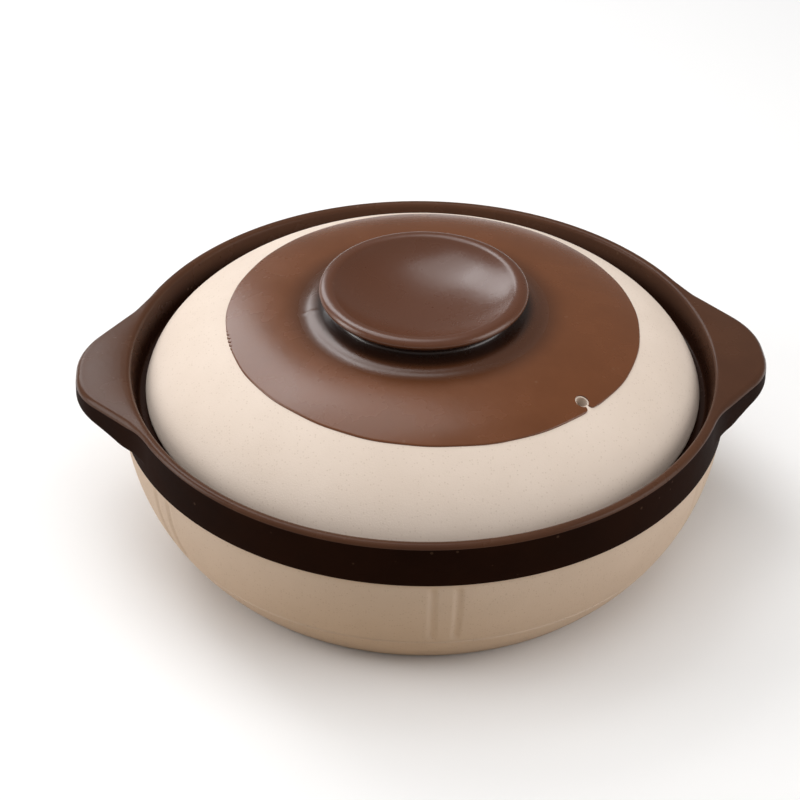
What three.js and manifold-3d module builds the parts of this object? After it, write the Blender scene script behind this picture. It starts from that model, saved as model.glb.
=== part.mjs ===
// Two-tone stoneware casserole: a round bowl with two ear handles, and a domed lid with a dish knob.
// Pale bare clay outside, brown glaze on the rim, the ears, the crown of the lid and the inside.
// Millimetres, +Z up. Origin on the table under the bowl's centre, with the ears on the X axis.

import * as THREE from 'three';
import { mergeVertices } from 'three/addons/utils/BufferGeometryUtils.js';
import Module from 'manifold-3d';

const wasm = await Module();
wasm.setup();

// Bowl, bare clay
const RIM_R = 124.4;           // outer radius of the rim
const RIM_Z = 75.4;            // height of the rim
const RIM_T = 3.2;             // thickness of the rim
const RIM_ROUND = 1.4;         // rounding of the rim's edges
const BELLY_SWELL = 0.5;       // how far the widest place stands out past the rim
const BELLY_DROP = 15.4;       // from the rim down to the widest place
const FOOT_IN = 23.7;          // from the rim in to where the wall's curve would meet the table
const FOOT_ROUND = 4;          // rounding of the foot's outer edge
const FOOT_RING_W = 18;        // width of the ring that the bowl stands on
const FOOT_HOLLOW = 1.2;       // depth of the hollow turned inside that ring
const WALL_T = 8;              // thickness of the wall
const FLOOR_T = 7;             // thickness of the floor
const FLOOR_FILLET = 12;       // hollow corner between floor and wall

// Gallery: the ledge inside the rim that carries the lid
const LEDGE_DEPTH = 14;        // from the rim down to the ledge
const GALLERY_IN = 5.4;        // from the rim's outside in to the gallery wall at the ledge
const GALLERY_FILLET = 2;      // hollow corner between gallery wall and ledge
const LEDGE_W = 11;            // from the gallery wall to the ledge's inner edge
const LEDGE_ROUND = 1.5;       // rounding of that inner edge
const LEDGE_T = 6;             // thickness of the ledge at its inner edge
const LEDGE_BRACE = 8;         // height of the slope that carries the ledge back to the wall

// Lines in the pale wall
const BASE_LINE_Z = 19.8;      // height of the line turned round the wall's foot
const BASE_LINE_W = 1.8;
const BASE_LINE_D = 0.7;
const GROOVE_PAIRS = 6;        // upright grooves go round in pairs
const GROOVE_SPACING = 9.8;    // between the two grooves of a pair
const GROOVE_W = 5;
const GROOVE_D = 0.7;
const GROOVE_END = 1.2;        // bare wall left above and below a groove

// Glaze coats
const GLAZE_T = 0.5;           // thickness of a coat
const BOND = 0.1;              // clearance between a coat and its clay
const BAND_H = 19;             // height of the glazed band under the rim
const LINING_DROP = 1;         // bare clay left between the ledge's edge and the lining

// Ears
const EAR_REACH = 18.2;        // how far an ear stands out from the rim
const EAR_TIP_HALF = 16;       // half the width of its tip
const EAR_ROOT_HALF = 46.5;    // half the width where its flanks meet the rim
const EAR_TIP_T = 11;          // thickness at the tip
const EAR_DROP = 2;            // how far the top falls from the rim to the tip
const EAR_ROOT_T = 17.8;       // height of its root on the wall
const EAR_ROOT_FADE = 7;       // how far a flank stands out where the root has its full height
const EAR_EDGE = 3.2;          // rounding of its edges
const EAR_CORNER = 11;         // length over which a tip corner is rounded
const EAR_BLEND = 7;           // length over which a flank runs into the rim
const LUTE_GAP = 0.3;          // slip joint between an ear and the wall

// Lid
const LID_GAP = 4;             // from the gallery wall to the lid's edge
const SEAT_GAP = 0.3;          // clearance between lid and glazed ledge
const LID_RISE = 36.2;         // from the seat to the flat crown
const LID_T = 6.5;             // thickness of the crown
const LID_EDGE_H = 2.7;        // height of the rounded edge
const LID_SEAT_W = 8.5;        // width of the ring that rests on the ledge, with its rounding
const LID_CROWN_PULL = 34.4;   // how far the dome stays level past the crown
const LID_EDGE_PULL = 14.5;    // how far the dome keeps the edge's slope
const LID_EDGE_LEAN = 76.8;    // slope of the dome at its edge, degrees
const LID_BARE_W = 30;         // width of the bare zone outside the dipped glaze
const DIP_TILT = 1.1;          // the lid was dipped a little askew, degrees

// Steam hole
const VENT_IN = 2;             // from the glaze's edge in to the hole
const VENT_AZIMUTH = -46;      // degrees from the right ear
const VENT_D = 4.6;
const VENT_BARE = 0.6;         // ring wiped clean of glaze round the hole
const VENT_RUN_W = 1.8;        // width of the bare run from that ring to the glaze's edge
const VENT_RUN_FLARE = 6;      // its width where it leaves the glaze

// Knob
const KNOB_R = 42.6;           // radius over its lip
const KNOB_H = 12.5;           // height over the crown
const KNOB_LIP = 2.5;          // rounding of the lip
const KNOB_TUCK = 50;          // how far the rounding runs on under the lip, degrees
const KNOB_NECK_IN = 5;        // how far the neck under the lip is drawn in
const KNOB_COLLAR_IN = 1.4;    // how far the collar under the neck stays inside the lip
const KNOB_COLLAR_H = 2;       // height of the collar
const KNOB_SPREAD = 10;        // how far the foot spreads past the collar
const KNOB_FOOT_EDGE = 0.6;    // height of the foot's thin edge
const KNOB_FLOOR_T = 2.6;      // thickness of the dish's floor
const KNOB_SLOPE = 34;         // slope of the dish inside the lip, degrees
const KNOB_GAP = 0.4;          // from the foot to the coat on the lid

// Facets
const BOWL_SIDES = 44;
const KNOB_SIDES = 40;
const VENT_SIDES = 16;
const DOME_STEPS = 8;

const COAT = BOND + GLAZE_T;
const BELLY_R = RIM_R + BELLY_SWELL;
const BELLY_Z = RIM_Z - BELLY_DROP;
const FOOT_R = RIM_R - FOOT_IN;
const GALLERY_R = RIM_R - GALLERY_IN;
const LEDGE_Z = RIM_Z - LEDGE_DEPTH;
const LEDGE_IN_R = GALLERY_R - LEDGE_W;
const BAND_Z = RIM_Z + COAT - BAND_H;
const LID_R = GALLERY_R - LID_GAP;
const SEAT_Z = LEDGE_Z + COAT + SEAT_GAP;
const CROWN_Z = SEAT_Z + LID_RISE;
const LID_GLAZE_R = LID_R - LID_BARE_W;
const VENT_R = LID_GLAZE_R - VENT_IN;
const KNOB_NECK_R = KNOB_R - KNOB_NECK_IN;
const KNOB_COLLAR_R = KNOB_R - KNOB_COLLAR_IN;
const KNOB_FOOT_R = KNOB_COLLAR_R + KNOB_SPREAD;
const CROWN_R = KNOB_FOOT_R + KNOB_GAP;

const clay = new THREE.MeshStandardMaterial({ color: 0xd9c8b6, roughness: 0.85, metalness: 0 });
const glaze = new THREE.MeshStandardMaterial({ color: 0x5a3524, roughness: 0.32, metalness: 0 });

const degrees = THREE.MathUtils.degToRad;
const at = (radius, height) => new THREE.Vector2(radius, height);

// Points along a circular arc of a profile, angles in degrees from the outward direction.
function arc(centre, radius, from, to, steps) {
  return Array.from({ length: steps + 1 }, (_, i) => {
    const angle = degrees(from + ((to - from) * i) / steps);
    return at(centre.x + radius * Math.cos(angle), centre.y + radius * Math.sin(angle));
  });
}

// A profile moved to its right hand, which is outwards from the clay.
function offset(points, distance) {
  const normals = points.slice(1).map((point, i) => {
    const along = point.clone().sub(points[i]).normalize();
    return at(along.y, -along.x);
  });
  return points.map((point, i) => {
    const before = normals[Math.max(i - 1, 0)];
    const after = normals[Math.min(i, normals.length - 1)];
    const middle = before.clone().add(after).normalize();
    return point.clone().addScaledVector(middle, distance / middle.dot(after));
  });
}

// Turns a profile, drawn with the solid on its left hand, round the Z axis.
function turned(points, sides) {
  return new THREE.LatheGeometry(points, sides).rotateX(Math.PI / 2);
}

// A coat of glaze over a stretch of profile that ends clear of the axis.
function coatOver(points, sides) {
  const skin = offset(points, COAT);
  return turned([...skin, ...offset(points, BOND).reverse(), skin[0]], sides);
}

function toSolid(geometry) {
  const bare = geometry.clone();
  bare.deleteAttribute('normal');
  bare.deleteAttribute('uv');
  const merged = mergeVertices(bare);
  const index = merged.getIndex().array;
  const triangles = [];
  for (let i = 0; i < index.length; i += 3) {
    const [a, b, c] = index.slice(i, i + 3);
    if (a !== b && b !== c && c !== a) triangles.push(a, b, c);
  }
  return new wasm.Manifold(new wasm.Mesh({
    numProp: 3,
    vertProperties: new Float32Array(merged.getAttribute('position').array),
    triVerts: new Uint32Array(triangles),
  }));
}

function toGeometry(solid) {
  const mesh = solid.getMesh();
  const geometry = new THREE.BufferGeometry();
  geometry.setAttribute('position', new THREE.BufferAttribute(mesh.vertProperties, 3));
  geometry.setIndex(new THREE.BufferAttribute(mesh.triVerts, 1));
  geometry.computeVertexNormals();
  return geometry;
}

function cut(geometry, cutters) {
  return toGeometry(cutters.reduce((solid, cutter) => solid.subtract(toSolid(cutter)), toSolid(geometry)));
}

function piece(name, geometry, material) {
  const mesh = new THREE.Mesh(geometry, material);
  mesh.name = name;
  return mesh;
}

// Bowl: the wall is one arc, upright at the belly and running down to the foot.
const wallRise = BELLY_R - FOOT_R;
const wallArc = (wallRise ** 2 + BELLY_Z ** 2) / (2 * wallRise);
const wallCentre = at(BELLY_R - wallArc, BELLY_Z);
const wallAngle = (height, radius) => THREE.MathUtils.radToDeg(Math.asin((height - BELLY_Z) / radius));
const acrossWall = (length) => THREE.MathUtils.radToDeg(length / wallArc);

function bowlOutside() {
  const footArc = wallArc - FOOT_ROUND;
  const footAngle = wallAngle(FOOT_ROUND, footArc);
  const footCentre = arc(wallCentre, footArc, footAngle, footAngle, 1)[0];
  const ringIn = footCentre.x - FOOT_RING_W;
  const lineAngle = wallAngle(BASE_LINE_Z, wallArc);
  const lineHalf = acrossWall(BASE_LINE_W / 2);
  const lineBottom = arc(wallCentre, wallArc - BASE_LINE_D, lineAngle, lineAngle, 1)[0];
  return [
    at(0, FOOT_HOLLOW),
    at(ringIn - FOOT_HOLLOW, FOOT_HOLLOW),
    at(ringIn, 0),
    ...arc(footCentre, FOOT_ROUND, -90, footAngle, 2),
    ...arc(wallCentre, wallArc, footAngle, lineAngle - lineHalf, 2).slice(1),
    lineBottom,
    ...arc(wallCentre, wallArc, lineAngle + lineHalf, wallAngle(BAND_Z, wallArc), 4),
  ];
}

function bowlRim() {
  const round = Math.min(RIM_ROUND, RIM_T / 2);
  const top = RIM_Z - round;
  return [
    ...arc(wallCentre, wallArc, wallAngle(BAND_Z, wallArc), 0, 1),
    ...arc(at(RIM_R - round, top), round, 0, 90, 2),
    ...arc(at(RIM_R - RIM_T + round, top), round, 90, 180, 2),
    at(GALLERY_R, LEDGE_Z + GALLERY_FILLET),
  ];
}

function bowlLedge() {
  const corner = at(GALLERY_R - GALLERY_FILLET, LEDGE_Z + GALLERY_FILLET);
  const edge = at(LEDGE_IN_R + LEDGE_ROUND, LEDGE_Z - LEDGE_ROUND);
  return [...arc(corner, GALLERY_FILLET, 0, -90, 2), ...arc(edge, LEDGE_ROUND, 90, 180, 2)];
}

function bowlInside() {
  const innerArc = wallArc - WALL_T;
  const braceZ = LEDGE_Z - LEDGE_T - LEDGE_BRACE;
  const filletArc = innerArc - FLOOR_FILLET;
  const filletAngle = wallAngle(FLOOR_T + FLOOR_FILLET, filletArc);
  const filletCentre = arc(wallCentre, filletArc, filletAngle, filletAngle, 1)[0];
  return [
    at(LEDGE_IN_R, LEDGE_Z - LEDGE_ROUND - LINING_DROP),
    at(LEDGE_IN_R, LEDGE_Z - LEDGE_T),
    ...arc(wallCentre, innerArc, wallAngle(braceZ, innerArc), filletAngle, 3),
    ...arc(filletCentre, FLOOR_FILLET, filletAngle, -90, 3).slice(1),
    at(0, FLOOR_T),
  ];
}

// One groove is cut by a round rod bent along the wall.
function grooveRod(azimuth) {
  const rod = (GROOVE_W ** 2 / 4 + GROOVE_D ** 2) / (2 * GROOVE_D);
  const path = wallArc - GROOVE_D + rod;
  const low = wallAngle(BASE_LINE_Z, wallArc) + acrossWall(BASE_LINE_W / 2 + GROOVE_END);
  const high = wallAngle(BAND_Z, wallArc) - acrossWall(GROOVE_END);
  const along = arc(wallCentre, path, low, high, 4)
    .map((point) => new THREE.Vector3(point.x, 0, point.y));
  const round = new THREE.Shape().absarc(0, 0, rod, 0, 2 * Math.PI);
  return new THREE.ExtrudeGeometry(round, {
    steps: 4,
    curveSegments: 6,
    bevelEnabled: false,
    extrudePath: new THREE.CatmullRomCurve3(along),
  }).rotateZ(azimuth);
}

function grooveRods() {
  const half = GROOVE_SPACING / 2 / BELLY_R;
  return Array.from({ length: GROOVE_PAIRS }, (_, i) => Math.PI / 2 + (2 * Math.PI * i) / GROOVE_PAIRS)
    .flatMap((azimuth) => [grooveRod(azimuth - half), grooveRod(azimuth + half)]);
}

// Ear: half of its plan outline, from the rim round to the middle of its tip.
const earRim = RIM_R + COAT;
const earTop = RIM_Z + COAT;
const earTip = earRim + EAR_REACH;

function earOutline() {
  const root = at(Math.sqrt(earRim ** 2 - EAR_ROOT_HALF ** 2), EAR_ROOT_HALF);
  const corner = at(Math.sqrt(earTip ** 2 - EAR_TIP_HALF ** 2), EAR_TIP_HALF);
  const flank = corner.clone().sub(root).normalize();
  const start = root.angle() + EAR_BLEND / earRim;
  const tipFrom = corner.angle() - EAR_CORNER / earTip;
  const blendEnd = root.clone().addScaledVector(flank, EAR_BLEND);
  const cornerStart = corner.clone().addScaledVector(flank, -EAR_CORNER);
  const path = new THREE.Path();
  path.moveTo(earRim * Math.cos(start), earRim * Math.sin(start));
  path.quadraticCurveTo(root.x, root.y, blendEnd.x, blendEnd.y);
  for (const share of [1 / 3, 2 / 3, 1]) {
    const step = blendEnd.clone().lerp(cornerStart, share);
    path.lineTo(step.x, step.y);
  }
  path.quadraticCurveTo(corner.x, corner.y, earTip * Math.cos(tipFrom), earTip * Math.sin(tipFrom));
  path.lineTo(earTip, 0);
  const half = path.getPoints(4);
  return [...half, ...half.slice(0, -1).reverse().map((point) => at(point.x, -point.y))];
}

// The wall behind an ear leans in a little from the belly to the rim.
function behindEar(height) {
  return THREE.MathUtils.mapLinear(height, BELLY_Z, RIM_Z, BELLY_R, RIM_R);
}

// The ear's section where it stands a given way out from the wall: falling top, round edges and
// hollow underside. Spare makes it larger all round, and sunk moves its back into the wall.
function earSection(stand, spare, sunk) {
  const grown = THREE.MathUtils.smoothstep(stand - COAT, 0, EAR_ROOT_FADE);
  const tipLow = EAR_TIP_T + EAR_DROP;
  const rootLow = tipLow + (EAR_ROOT_T - tipLow) * grown;
  const under = (out) => earTop - tipLow - (rootLow - tipLow) * (1 - (out - COAT) / EAR_REACH) ** 2;
  const nose = stand + spare;
  const edge = Math.min(EAR_EDGE, (stand - LUTE_GAP) / 2);
  const top = earTop + spare;
  const shoulder = top - EAR_DROP * (stand - COAT) / EAR_REACH;
  const low = under(stand) - spare;
  const root = earTop - rootLow - spare;
  const hollow = [2 / 3, 1 / 3].map((share) => {
    const out = LUTE_GAP + (stand - edge - LUTE_GAP) * share;
    return at(out, under(out) - spare);
  });
  const section = [
    at(LUTE_GAP - sunk, top),
    ...arc(at(nose - edge, shoulder - edge), edge, 90, 0, 2),
    ...arc(at(nose - edge, low + edge), edge, 0, -90, 2),
    ...hollow,
    at(LUTE_GAP, root),
    at(LUTE_GAP - sunk, (top + root) / 2),
  ];
  return section.map((point) => at(behindEar(point.y) + point.x, point.y));
}

// Lofts the sections round the outline.
function earLoft(spare, sunk) {
  const outline = earOutline();
  const last = outline.length - 1;
  const sections = outline.map((point) => earSection(point.length() - RIM_R, spare, sunk));
  const azimuths = outline.map((point) => Math.atan2(point.y, point.x));
  azimuths[0] += spare / earRim;
  azimuths[last] -= spare / earRim;
  const count = sections[0].length;
  const place = (point, i) => [point.x * Math.cos(azimuths[i]), point.x * Math.sin(azimuths[i]), point.y];
  const middle = (i) => sections[i].reduce((sum, point) => sum.add(point), at(0, 0)).divideScalar(count);
  const positions = [
    ...sections.flatMap((section, i) => section.flatMap((point) => place(point, i))),
    ...place(middle(0), 0),
    ...place(middle(last), last),
  ];
  const firstMiddle = sections.length * count;
  const index = [];
  for (let j = 0; j < count; j += 1) {
    const next = (j + 1) % count;
    for (let i = 0; i < last; i += 1) {
      const a = i * count + j;
      const b = i * count + next;
      index.push(a, a + count, b, b, a + count, b + count);
    }
    index.push(firstMiddle, j, next);
    index.push(firstMiddle + 1, last * count + next, last * count + j);
  }
  const geometry = new THREE.BufferGeometry();
  geometry.setAttribute('position', new THREE.Float32BufferAttribute(positions, 3));
  geometry.setIndex(index);
  geometry.computeVertexNormals();
  return geometry;
}

// Lid: the dome runs level off the crown and steepens over its shoulder to the edge.
const lidEdge = at(LID_R, SEAT_Z + LID_EDGE_H);

function lidDome(steps) {
  const lean = degrees(LID_EDGE_LEAN);
  const shoulder = at(
    lidEdge.x - LID_EDGE_PULL * Math.cos(lean),
    lidEdge.y + LID_EDGE_PULL * Math.sin(lean),
  );
  const level = at(CROWN_R + LID_CROWN_PULL, CROWN_Z);
  return new THREE.CubicBezierCurve(lidEdge, shoulder, level, at(CROWN_R, CROWN_Z)).getPoints(steps);
}

function lidProfile() {
  const seatIn = at(LID_R - LID_SEAT_W, SEAT_Z);
  const shoulder = at(seatIn.x, SEAT_Z + LID_EDGE_PULL);
  const level = at(CROWN_R + LID_CROWN_PULL, CROWN_Z - LID_T);
  const under = new THREE.CubicBezierCurve(at(CROWN_R, CROWN_Z - LID_T), level, shoulder, seatIn);
  return [
    at(0, CROWN_Z - LID_T),
    ...under.getPoints(6),
    ...arc(at(LID_R - LID_EDGE_H, lidEdge.y), LID_EDGE_H, -90, 0, 2),
    ...lidDome(DOME_STEPS).slice(1),
    at(0, CROWN_Z),
  ];
}

// The dome's height and slope at a given radius.
function domeAt(radius) {
  const points = lidDome(200);
  const i = points.findIndex((point) => point.x < radius);
  const [outer, inner] = [points[i - 1], points[i]];
  const slope = (inner.y - outer.y) / (outer.x - inner.x);
  return { height: inner.y - slope * (radius - inner.x), slope };
}

// Places a shape drawn round the Z axis on the steam hole, square to the dome, +X running outwards.
function onVent(geometry) {
  const { height, slope } = domeAt(VENT_R);
  return geometry
    .rotateY(Math.atan(slope))
    .translate(VENT_R, 0, height)
    .rotateZ(degrees(VENT_AZIMUTH));
}

function ventDrill() {
  const drill = new THREE.CylinderGeometry(VENT_D / 2, VENT_D / 2, 2 * LID_RISE, VENT_SIDES);
  return onVent(drill.rotateX(Math.PI / 2));
}

// The bare keyhole in the glaze: a ring round the hole and a run that widens towards the glaze's edge.
function ventKeyhole() {
  const ring = VENT_D / 2 + VENT_BARE;
  const spread = Math.asin(VENT_RUN_W / 2 / ring);
  const run = LID_GLAZE_R - VENT_R + VENT_RUN_FLARE;
  const outline = new THREE.Shape();
  outline.absarc(0, 0, ring, spread, 2 * Math.PI - spread);
  outline.lineTo(run, -VENT_RUN_FLARE);
  outline.lineTo(run, VENT_RUN_FLARE);
  const plug = new THREE.ExtrudeGeometry(outline, {
    depth: LID_RISE,
    curveSegments: 8,
    bevelEnabled: false,
  });
  return onVent(plug.translate(0, 0, -LID_RISE / 2));
}

// Everything under the level of the dip, tilted about Y, stays bare.
function underDip() {
  const size = 4 * LID_R;
  const block = new THREE.BoxGeometry(size, size, size).translate(0, 0, -size / 2);
  return block.rotateY(degrees(DIP_TILT)).translate(0, 0, domeAt(LID_GLAZE_R).height);
}

function lidCoat() {
  const dipped = lidDome(DOME_STEPS).filter((point) => point.y > domeAt(LID_GLAZE_R).height - LID_T);
  return cut(coatOver(dipped, BOWL_SIDES), [underDip(), ventKeyhole()]);
}

// Knob: a saucer with a rolled lip over a waisted neck, on a collar that spreads over the crown.
function knobProfile() {
  const collarZ = CROWN_Z + KNOB_COLLAR_H;
  const lip = at(KNOB_R - KNOB_LIP, CROWN_Z + KNOB_H - KNOB_LIP);
  const floorZ = CROWN_Z + KNOB_FLOOR_T;
  const brim = arc(lip, KNOB_LIP, -KNOB_TUCK, 90 + KNOB_SLOPE, 6);
  const dishFrom = brim[brim.length - 1];
  const dishRun = (dishFrom.y - floorZ) / Math.tan(degrees(KNOB_SLOPE));
  const spread = new THREE.QuadraticBezierCurve(
    at(KNOB_FOOT_R, CROWN_Z + KNOB_FOOT_EDGE),
    at(KNOB_COLLAR_R, CROWN_Z + KNOB_FOOT_EDGE),
    at(KNOB_COLLAR_R, collarZ),
  );
  const neck = new THREE.QuadraticBezierCurve(
    at(KNOB_COLLAR_R, collarZ),
    at(2 * KNOB_NECK_R - KNOB_COLLAR_R, (collarZ + brim[0].y) / 2),
    brim[0],
  );
  const dish = new THREE.QuadraticBezierCurve(
    dishFrom,
    at(dishFrom.x - dishRun, floorZ),
    at(0, floorZ),
  );
  return [
    at(0, CROWN_Z),
    at(KNOB_FOOT_R, CROWN_Z),
    ...spread.getPoints(4),
    ...neck.getPoints(3).slice(1, -1),
    ...brim,
    ...dish.getPoints(5).slice(1),
  ];
}

const rim = bowlRim();
const inside = bowlInside();
const bowlProfile = [...bowlOutside(), ...rim.slice(1, -1), ...bowlLedge(), ...inside];
const bowl = piece('bowl', cut(turned(bowlProfile, BOWL_SIDES), grooveRods()), clay);

// The lining starts a little under the ledge and closes over the floor.
const lining = [...offset(inside, BOND).reverse(), ...offset(inside, COAT)];
const insideGlaze = piece('inside_glaze', turned(lining, BOWL_SIDES), glaze);

// One dip covers the band, the rim, the gallery and the ledge.
const coated = [...rim.slice(0, -1), ...bowlLedge()];
const earSpace = earLoft(LUTE_GAP, RIM_T / 2);
const rimGlaze = piece(
  'rim_glaze',
  cut(coatOver(coated, BOWL_SIDES), [earSpace, earSpace.clone().rotateZ(Math.PI)]),
  glaze,
);

const earRight = piece('ear_right', earLoft(0, 0), glaze);
const earLeft = piece('ear_left', earLoft(0, 0), glaze);
earLeft.rotation.z = Math.PI;

const lid = piece('lid', cut(turned(lidProfile(), BOWL_SIDES), [ventDrill()]), clay);
const lidGlaze = piece('lid_glaze', lidCoat(), glaze);
const knob = piece('knob', turned(knobProfile(), KNOB_SIDES), glaze);

const pot = new THREE.Group();
pot.add(bowl, insideGlaze, rimGlaze, earRight, earLeft);

const cover = new THREE.Group();
cover.add(lid, lidGlaze, knob);

const casserole = new THREE.Group();
casserole.add(pot, cover);

export default casserole;
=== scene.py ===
import math

import bpy
from mathutils import Matrix, Vector


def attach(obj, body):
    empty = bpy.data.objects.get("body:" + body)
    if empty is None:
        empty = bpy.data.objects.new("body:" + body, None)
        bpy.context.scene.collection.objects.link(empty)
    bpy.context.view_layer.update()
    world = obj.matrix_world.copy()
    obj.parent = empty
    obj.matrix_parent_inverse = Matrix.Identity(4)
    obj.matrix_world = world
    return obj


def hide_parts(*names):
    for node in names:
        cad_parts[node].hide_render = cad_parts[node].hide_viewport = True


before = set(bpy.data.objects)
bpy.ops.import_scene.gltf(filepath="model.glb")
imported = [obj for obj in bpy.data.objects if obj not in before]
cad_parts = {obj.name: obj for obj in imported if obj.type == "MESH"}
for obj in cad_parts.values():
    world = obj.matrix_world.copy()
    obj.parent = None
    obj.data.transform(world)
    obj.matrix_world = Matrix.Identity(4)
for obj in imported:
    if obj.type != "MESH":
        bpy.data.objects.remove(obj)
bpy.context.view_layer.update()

# Bowl. Pale sandy stoneware, thrown on a wheel and fired bare on the outside. A line is turned round
# its foot, and six pairs of shallow upright grooves are pressed into the wall while the clay is soft.
MM = 0.001
RIM_R = 124.4
RIM_Z = 75.4
RIM_T = 3.2
RIM_ROUND = 1.4
BELLY_R = 124.9
BELLY_Z = 60.0
FOOT_R = 100.7
FOOT_ROUND = 4.0
FOOT_RING_W = 18.0
FOOT_HOLLOW = 1.2
WALL_T = 8.0
FLOOR_T = 7.0
FLOOR_FILLET = 12.0
LEDGE_Z = 61.4
LEDGE_IN_R = 108.0
LEDGE_ROUND = 1.5
LEDGE_T = 6.0
LEDGE_BRACE = 8.0
GALLERY_R = 119.0
GALLERY_FILLET = 2.0
BASE_LINE_Z = 19.8
BASE_LINE_W = 1.8
BASE_LINE_D = 0.7
GROOVE_PAIRS = 6
GROOVE_HALF = 2.25
GROOVE_W = 5.0
GROOVE_D = 0.7
GROOVE_LOW = 22.0
GROOVE_HIGH = 56.0
GROOVE_FADE = 2.5
FLOOR_RING_R = 40.0
BOWL_STEPS = 720
GROOVE_CROWDING = 0.35

WALL_ARC = ((BELLY_R - FOOT_R) ** 2 + BELLY_Z ** 2) / (2 * (BELLY_R - FOOT_R))
WALL_AXIS_R = BELLY_R - WALL_ARC


def arc(centre_r, centre_z, radius, start, end, steps):
    """Points (radius, height) along an arc of a profile, angles in degrees from the outward direction."""
    points = []
    for i in range(steps + 1):
        angle = math.radians(start + (end - start) * i / steps)
        points.append((centre_r + radius * math.cos(angle), centre_z + radius * math.sin(angle)))
    return points


def weighed(shares, corners):
    """The point that lies among corners by their shares."""
    return tuple(sum(w * p[k] for w, p in zip(shares, corners)) for k in (0, 1))


def curve(start, pull, end, steps):
    """Points along a curve that leaves start towards pull and reaches end from pull."""
    points = []
    for i in range(steps + 1):
        t = i / steps
        shares = ((1 - t) ** 2, 2 * t * (1 - t), t ** 2)
        points.append(weighed(shares, (start, pull, end)))
    return points


def wall_angle(height, radius):
    """Angle, in degrees, at which an arc about the wall's centre reaches a height."""
    return math.degrees(math.asin((height - BELLY_Z) / radius))


def spin_strip(name, profile, steps):
    """Draws a profile of (radius, height) points in millimetres and spins it round the Z axis."""
    bpy.ops.object.select_all(action="DESELECT")
    bpy.ops.mesh.primitive_plane_add(size=0.01)
    strip = bpy.context.object
    strip.name = name
    strip.data.name = name
    bpy.ops.object.mode_set(mode="EDIT")
    bpy.ops.mesh.select_all(action="SELECT")
    bpy.ops.mesh.merge(type="CENTER")
    bpy.ops.transform.translate(value=(profile[0][0] * MM, 0, profile[0][1] * MM))
    for before, after in zip(profile, profile[1:]):
        step = ((after[0] - before[0]) * MM, 0, (after[1] - before[1]) * MM)
        bpy.ops.mesh.extrude_region_move(TRANSFORM_OT_translate={"value": step})
    bpy.ops.mesh.select_all(action="SELECT")
    bpy.ops.mesh.spin(steps=steps, angle=2 * math.pi, center=(0, 0, 0), axis=(0, 0, 1))
    bpy.ops.object.mode_set(mode="OBJECT")
    return strip


def close_seams(piece, smooth_to):
    """Merges the spin's seam and poles, turns the faces outwards and smooths what is no edge."""
    bpy.ops.object.select_all(action="DESELECT")
    piece.select_set(True)
    bpy.context.view_layer.objects.active = piece
    bpy.ops.object.mode_set(mode="EDIT")
    bpy.ops.mesh.select_all(action="SELECT")
    bpy.ops.mesh.remove_doubles(threshold=2e-6)
    bpy.ops.mesh.dissolve_degenerate(threshold=1e-7)
    bpy.ops.mesh.select_all(action="SELECT")
    bpy.ops.mesh.normals_make_consistent(inside=False)
    bpy.ops.object.mode_set(mode="OBJECT")
    bpy.ops.object.shade_smooth_by_angle(angle=math.radians(smooth_to))
    return piece


foot_arc = WALL_ARC - FOOT_ROUND
foot_angle = wall_angle(FOOT_ROUND, foot_arc)
foot_r, foot_z = arc(WALL_AXIS_R, BELLY_Z, foot_arc, foot_angle, foot_angle, 1)[0]
line_angle = wall_angle(BASE_LINE_Z, WALL_ARC)
line_half = math.degrees(BASE_LINE_W / 2 / WALL_ARC)
line_bottom = arc(WALL_AXIS_R, BELLY_Z, WALL_ARC - BASE_LINE_D, line_angle, line_angle, 1)[0]
inner_arc = WALL_ARC - WALL_T
fillet_arc = inner_arc - FLOOR_FILLET
fillet_angle = wall_angle(FLOOR_T + FLOOR_FILLET, fillet_arc)
fillet_r, fillet_z = arc(WALL_AXIS_R, BELLY_Z, fillet_arc, fillet_angle, fillet_angle, 1)[0]
brace_angle = wall_angle(LEDGE_Z - LEDGE_T - LEDGE_BRACE, inner_arc)

bowl_inside = [
    (LEDGE_IN_R, LEDGE_Z - LEDGE_T),
    *arc(WALL_AXIS_R, BELLY_Z, inner_arc, brace_angle, fillet_angle, 10),
    *arc(fillet_r, fillet_z, FLOOR_FILLET, fillet_angle, -90, 8)[1:],
    (FLOOR_RING_R, FLOOR_T),
    (0.0, FLOOR_T),
]
bowl_profile = [
    (0.0, FOOT_HOLLOW),
    (FLOOR_RING_R, FOOT_HOLLOW),
    (foot_r - FOOT_RING_W - FOOT_HOLLOW, FOOT_HOLLOW),
    (foot_r - FOOT_RING_W, 0.0),
    *arc(foot_r, foot_z, FOOT_ROUND, -90, foot_angle, 6),
    *arc(WALL_AXIS_R, BELLY_Z, WALL_ARC, foot_angle, line_angle - line_half, 5)[1:],
    line_bottom,
    *arc(WALL_AXIS_R, BELLY_Z, WALL_ARC, line_angle + line_half, 0, 26),
    *arc(RIM_R - RIM_ROUND, RIM_Z - RIM_ROUND, RIM_ROUND, 0, 90, 3),
    *arc(RIM_R - RIM_T + RIM_ROUND, RIM_Z - RIM_ROUND, RIM_ROUND, 90, 180, 3),
    *arc(GALLERY_R - GALLERY_FILLET, LEDGE_Z + GALLERY_FILLET, GALLERY_FILLET, 0, -90, 4),
    *arc(LEDGE_IN_R + LEDGE_ROUND, LEDGE_Z - LEDGE_ROUND, LEDGE_ROUND, 90, 180, 4),
    *bowl_inside,
]


def soft_groove(across):
    """Depth of a groove, as a share, at a distance across it that is 1 at its edge."""
    return math.cos(across * math.pi / 2) ** 2 if abs(across) < 1 else 0.0


def fade(value, start, end):
    """Rises softly from 0 at start to 1 at end."""
    share = min(max((value - start) / (end - start), 0.0), 1.0)
    return share * share * (3 - 2 * share)


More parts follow.
